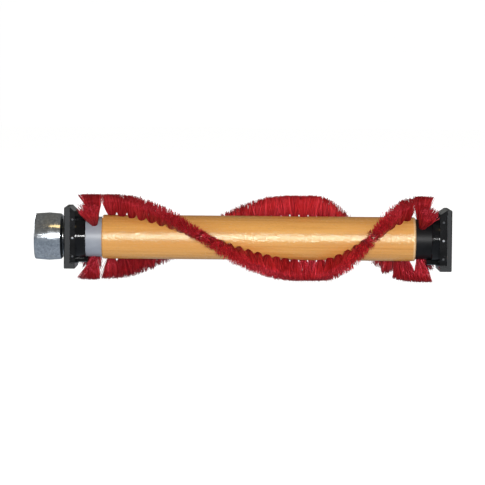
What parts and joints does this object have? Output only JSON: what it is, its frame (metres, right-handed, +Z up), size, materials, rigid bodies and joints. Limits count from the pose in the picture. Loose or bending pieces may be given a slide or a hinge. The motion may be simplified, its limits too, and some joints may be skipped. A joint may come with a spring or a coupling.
{
  "type": "vacuum cleaner brush roll",
  "caption": "Rotating brush roll of an upright sweeper: wooden roller with two chevron rows of red bristles, square end supports on ball bearings and a crowned belt pulley.",
  "frame": {"origin": "on the roller's axis, halfway along the whole roll", "axes": "+X along the axis from the belt pulley to the idle end, -Y the front, +Z up, square to the end supports' seats"},
  "size_m": [0.33, 0.0672, 0.0674],
  "materials": {
    "black_plastic": "gloss",
    "grey_plastic": "satin",
    "cage_plastic": "satin",
    "bearing_steel": "polished",
    "shield_steel": "satin",
    "spring_steel": "satin",
    "felt": "matte",
    "beech_wood": "lacquered",
    "axle_steel": "satin",
    "zinc_plated_steel": "zinc plated, turned",
    "plated_hardware": "zinc plated",
    "red_bristle": "glossy nylon",
    "anchor_wire": "satin"
  },
  "bodies": {
    "drive_support": {"drive_support_block": "black_plastic", "drive_bearing_outer_race": "bearing_steel", "drive_bearing_shields": "shield_steel", "drive_bearing_clip": "spring_steel", "drive_felt_seal": "felt"},
    "roller": {"wooden_roller": "beech_wood", "drive_end_cap": "grey_plastic", "idle_end_cap": "black_plastic", "axle_shaft": "axle_steel", "belt_pulley": "zinc_plated_steel", "pulley_nut": "plated_hardware", "pulley_washer": "plated_hardware", "pulley_spacer": "plated_hardware", "drive_bearing_inner_race": "bearing_steel", "idle_bearing_inner_race": "bearing_steel", "axle_clip": "spring_steel", "bristle_row_a": "red_bristle", "bristle_row_b": "red_bristle", "drive_end_tufts": "red_bristle", "idle_end_tufts": "red_bristle", "tuft_anchors": "anchor_wire"},
    "drive_cage": {"drive_bearing_cage": "cage_plastic", "drive_bearing_balls": "bearing_steel"},
    "idle_support": {"idle_support_block": "black_plastic", "idle_bearing_outer_race": "bearing_steel", "idle_bearing_shields": "shield_steel", "idle_bearing_clip": "spring_steel", "idle_felt_seal": "felt", "idle_dust_cap": "black_plastic"},
    "idle_cage": {"idle_bearing_cage": "cage_plastic", "idle_bearing_balls": "bearing_steel"}
  },
  "joints": [
    {"name": "roller_spin", "type": "hinge", "parent": "drive_support", "child": "roller", "pos_m": [-0.1355, 0, 0], "axis": [1, 0, 0], "continuous": true},
    {"name": "drive_cage_spin", "type": "hinge", "parent": "drive_support", "child": "drive_cage", "pos_m": [-0.1355, 0, 0], "axis": [1, 0, 0], "continuous": true},
    {"name": "idle_support_spin", "type": "hinge", "parent": "roller", "child": "idle_support", "pos_m": [0.1589, 0, 0], "axis": [1, 0, 0], "continuous": true},
    {"name": "idle_cage_spin", "type": "hinge", "parent": "idle_support", "child": "idle_cage", "pos_m": [0.1589, 0, 0], "axis": [1, 0, 0], "continuous": true}
  ],
  "couplings": [
    {"joint": "drive_cage_spin", "follows": "roller_spin", "ratio": 0.37},
    {"joint": "idle_support_spin", "follows": "roller_spin", "ratio": -1},
    {"joint": "idle_cage_spin", "follows": "roller_spin", "ratio": 0.37}
  ]
}
